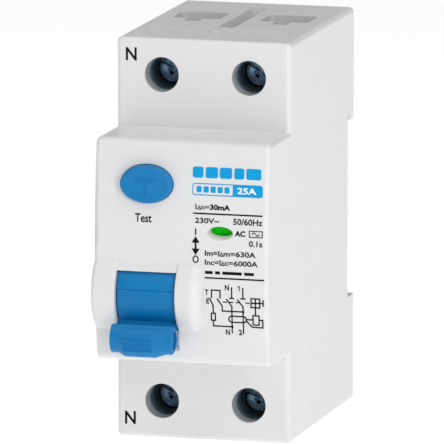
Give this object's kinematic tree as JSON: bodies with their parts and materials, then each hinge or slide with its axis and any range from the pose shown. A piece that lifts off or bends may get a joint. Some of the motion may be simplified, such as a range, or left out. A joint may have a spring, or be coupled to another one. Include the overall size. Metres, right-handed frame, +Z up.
{
  "type": "residual current device",
  "caption": "Rail-mounted residual current switch with a bowed nose, rocking toggle, oval test button, recessed terminal screws and a sliding rail clip.",
  "frame": {"origin": "middle of the width, on the plane that rests on the rail, middle of the height", "axes": "+Y from the front into the rail, +Z up towards the line terminals, +X to the right seen from the front"},
  "size_m": [0.036, 0.074, 0.0814],
  "materials": {
    "white_plastic": "satin moulded thermoset",
    "rivet_steel": "plated",
    "dark_sleeve": "moulded",
    "blue_plastic": "satin moulded",
    "steel": "zinc plated",
    "spring_steel": "drawn wire",
    "silver": "silver alloy",
    "black_plastic": "moulded",
    "grey_plastic": "moulded",
    "copper": "rolled copper",
    "spring_brass": "rolled strip",
    "fibre": "vulcanised fibre",
    "core_case": "moulded core case",
    "enamelled_wire": "enamel",
    "relay_can": "drawn can",
    "magnet": "sintered",
    "green_plastic": "printed",
    "red_plastic": "printed",
    "resistor": "lacquered ceramic",
    "zinc_screw": "dark blue passivated zinc",
    "zinc_cage": "zinc plated"
  },
  "bodies": {
    "housing": {"main_housing": "white_plastic", "side_cover": "white_plastic", "housing_rivets": "rivet_steel", "screw_sleeves": "dark_sleeve", "toggle_axle": "steel", "toggle_spring": "spring_steel", "latch_axle": "steel", "mechanism_frame": "steel", "fixed_contacts": "silver", "contact_shaft": "steel", "contact_braids": "copper", "arc_plates": "steel", "arc_plate_holders": "fibre", "transformer_core": "core_case", "secondary_winding": "enamelled_wire", "relay_case": "relay_can", "relay_coil": "enamelled_wire", "relay_magnet": "magnet", "trip_lever_axle": "steel", "test_button_spring": "spring_steel", "test_contact_strip": "spring_brass", "test_resistor": "resistor", "rail_clip_spring": "spring_steel", "primary_conductor_neutral": "copper", "primary_conductor_phase": "copper", "terminal_bar_line_neutral": "copper", "terminal_bar_line_phase": "copper", "terminal_bar_load_neutral": "copper", "terminal_bar_load_phase": "copper"},
    "toggle": {"toggle": "blue_plastic"},
    "link": {"link_wire": "spring_steel"},
    "latch": {"latch_lever": "steel"},
    "contacts": {"contact_carrier": "black_plastic", "contact_springs": "spring_steel", "moving_contact_neutral": "copper", "moving_contact_phase": "copper"},
    "indicator": {"indicator_flag": "green_plastic", "indicator_red_field": "red_plastic"},
    "test_button": {"test_button": "blue_plastic"},
    "relay_plunger": {"relay_plunger": "black_plastic"},
    "trip_lever": {"trip_lever": "black_plastic"},
    "rail_clip": {"rail_clip": "grey_plastic"},
    "screw_line_neutral": {"terminal_screw_line_neutral": "zinc_screw"},
    "cage_line_neutral": {"terminal_cage_line_neutral": "zinc_cage"},
    "screw_line_phase": {"terminal_screw_line_phase": "zinc_screw"},
    "cage_line_phase": {"terminal_cage_line_phase": "zinc_cage"},
    "screw_load_neutral": {"terminal_screw_load_neutral": "zinc_screw"},
    "cage_load_neutral": {"terminal_cage_load_neutral": "zinc_cage"},
    "screw_load_phase": {"terminal_screw_load_phase": "zinc_screw"},
    "cage_load_phase": {"terminal_cage_load_phase": "zinc_cage"}
  },
  "joints": [
    {"name": "toggle_swing", "type": "hinge", "parent": "housing", "child": "toggle", "pos_m": [-0.0068, -0.0567, -0.0084], "axis": [-1, 0, 0], "range_deg": [0, 60]},
    {"name": "link_swing", "type": "hinge", "parent": "toggle", "child": "link", "pos_m": [-0.0068, -0.05324, -0.0064], "axis": [1, 0, 0], "range_deg": [0, 73]},
    {"name": "latch_swing", "type": "hinge", "parent": "housing", "child": "latch", "pos_m": [-0.0068, -0.036, -0.006], "axis": [1, 0, 0], "range_deg": [0, 14]},
    {"name": "contacts_swing", "type": "hinge", "parent": "housing", "child": "contacts", "pos_m": [0, -0.027, 0.004], "axis": [-1, 0, 0], "range_deg": [0, 15.1], "deforming": ["contact_braids"]},
    {"name": "indicator_slide", "type": "slide", "parent": "housing", "child": "indicator", "axis": [0, 0, -1], "range_m": [0, 0.0042]},
    {"name": "test_button_press", "type": "slide", "parent": "housing", "child": "test_button", "axis": [0, 1, 0], "range_m": [0, 0.002], "stiffness_N_per_m": 400, "springref_m": -0.002, "deforming": ["test_button_spring"]},
    {"name": "relay_plunger_slide", "type": "slide", "parent": "housing", "child": "relay_plunger", "axis": [0, 0, 1], "range_m": [0, 0.002]},
    {"name": "trip_lever_swing", "type": "hinge", "parent": "housing", "child": "trip_lever", "pos_m": [0.005, -0.044, -0.004], "axis": [-1, 0, 0], "range_deg": [0, 14.5]},
    {"name": "rail_clip_slide", "type": "slide", "parent": "housing", "child": "rail_clip", "axis": [0, 0, -1], "range_m": [0, 0.003], "stiffness_N_per_m": 2500, "springref_m": -0.001, "deforming": ["rail_clip_spring"]},
    {"name": "screw_turn_line_neutral", "type": "hinge", "parent": "housing", "child": "screw_line_neutral", "pos_m": [-0.00865, -0.03, 0.0334], "axis": [0, 1, 0], "range_deg": [0, 3250]},
    {"name": "cage_slide_line_neutral", "type": "slide", "parent": "housing", "child": "cage_line_neutral", "axis": [0, -1, 0], "range_m": [0, 0.0072]},
    {"name": "screw_turn_line_phase", "type": "hinge", "parent": "housing", "child": "screw_line_phase", "pos_m": [0.0094, -0.03, 0.0334], "axis": [0, 1, 0], "range_deg": [0, 3250]},
    {"name": "cage_slide_line_phase", "type": "slide", "parent": "housing", "child": "cage_line_phase", "axis": [0, -1, 0], "range_m": [0, 0.0072]},
    {"name": "screw_turn_load_neutral", "type": "hinge", "parent": "housing", "child": "screw_load_neutral", "pos_m": [-0.00865, -0.03, -0.0331], "axis": [0, 1, 0], "range_deg": [0, 3250]},
    {"name": "cage_slide_load_neutral", "type": "slide", "parent": "housing", "child": "cage_load_neutral", "axis": [0, -1, 0], "range_m": [0, 0.0072]},
    {"name": "screw_turn_load_phase", "type": "hinge", "parent": "housing", "child": "screw_load_phase", "pos_m": [0.0094, -0.03, -0.0331], "axis": [0, 1, 0], "range_deg": [0, 3250]},
    {"name": "cage_slide_load_phase", "type": "slide", "parent": "housing", "child": "cage_load_phase", "axis": [0, -1, 0], "range_m": [0, 0.0072]}
  ],
  "couplings": [
    {"joint": "link_swing", "follows": "toggle_swing", "ratio": 1.21},
    {"joint": "latch_swing", "follows": "toggle_swing", "ratio": 0.2268},
    {"joint": "contacts_swing", "follows": "toggle_swing", "ratio": 0.25},
    {"joint": "indicator_slide", "follows": "toggle_swing", "m_per_rad": 0.00401},
    {"joint": "trip_lever_swing", "follows": "relay_plunger_slide", "rad_per_m": 125},
    {"joint": "screw_turn_line_neutral", "follows": "cage_slide_line_neutral", "rad_per_m": 7854},
    {"joint": "screw_turn_line_phase", "follows": "cage_slide_line_phase", "rad_per_m": 7854},
    {"joint": "screw_turn_load_neutral", "follows": "cage_slide_load_neutral", "rad_per_m": 7854},
    {"joint": "screw_turn_load_phase", "follows": "cage_slide_load_phase", "rad_per_m": 7854}
  ]
}
